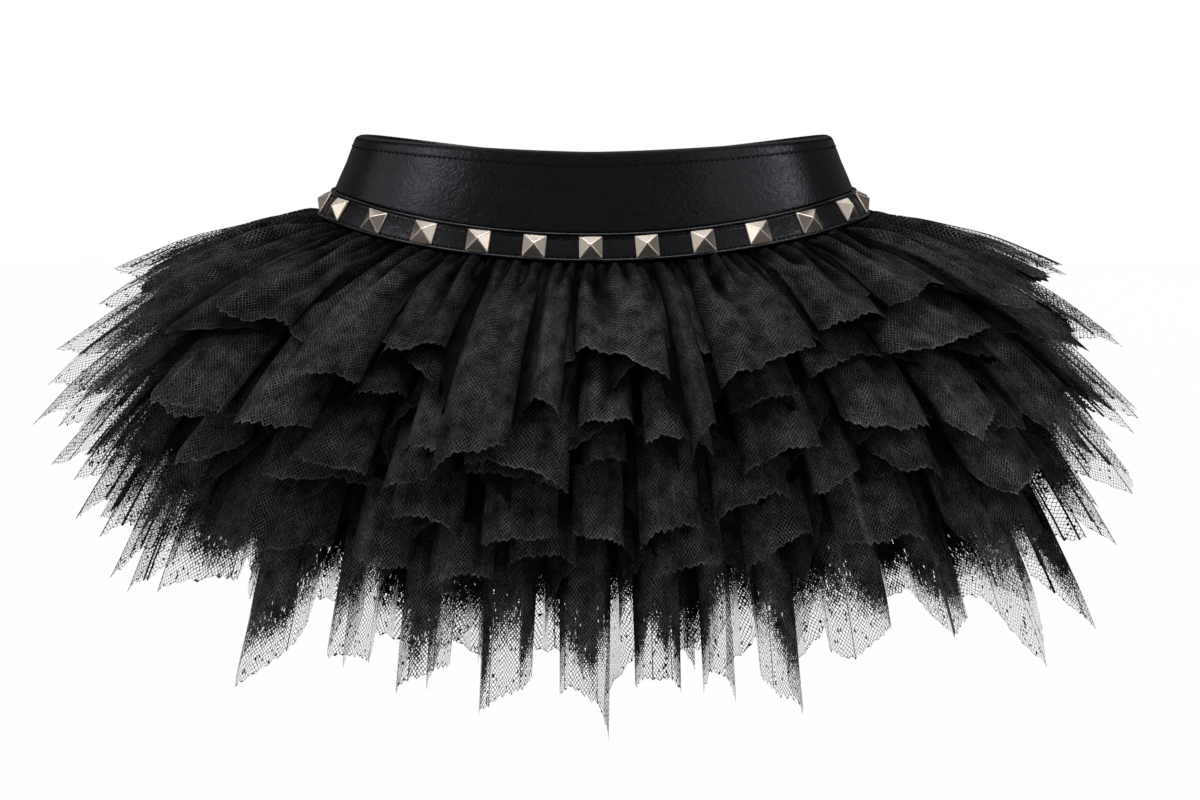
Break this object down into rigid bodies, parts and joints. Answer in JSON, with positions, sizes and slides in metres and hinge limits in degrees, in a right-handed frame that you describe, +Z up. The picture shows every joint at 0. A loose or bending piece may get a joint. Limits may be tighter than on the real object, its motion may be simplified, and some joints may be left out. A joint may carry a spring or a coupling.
{
  "type": "tulle skirt",
  "caption": "Short flared skirt of layered gathered net flounces with pointed hems, hung from a shaped leather yoke with a studded strip.",
  "frame": {"origin": "middle of the waist, half way up the yoke's sides, where the wearer holds the skirt", "axes": "+Z up through the waist, -Y towards the front, +X to the right of a viewer who faces the front"},
  "size_m": [0.5884, 0.4324, 0.2951],
  "materials": {
    "leather": "black imitation leather, soft satin with fine grain",
    "piping": "black imitation leather, rolled edge, a little glossier",
    "studs": "champagne nickel, lightly polished",
    "tulle": "black net of fine diamond mesh, matte"
  },
  "bodies": {
    "root": {"yoke_front": "leather", "yoke_back_right": "leather", "yoke_back_left": "leather", "stud_strip": "leather", "piping_upper": "piping", "piping_lower": "piping", "stud_01": "studs", "stud_02": "studs", "stud_03": "studs", "stud_04": "studs", "stud_05": "studs", "stud_06": "studs", "stud_07": "studs", "stud_08": "studs", "stud_09": "studs", "stud_10": "studs", "stud_11": "studs", "stud_12": "studs", "stud_13": "studs", "stud_14": "studs", "stud_15": "studs", "stud_16": "studs", "stud_17": "studs", "stud_18": "studs", "stud_19": "studs", "stud_20": "studs", "stud_21": "studs", "stud_22": "studs", "stud_23": "studs", "stud_24": "studs", "stud_25": "studs", "stud_26": "studs", "stud_27": "studs", "flounce_1": "tulle", "flounce_2": "tulle", "flounce_3": "tulle", "flounce_4": "tulle", "flounce_5": "tulle", "flounce_6": "tulle"}
  },
  "joints": []
}
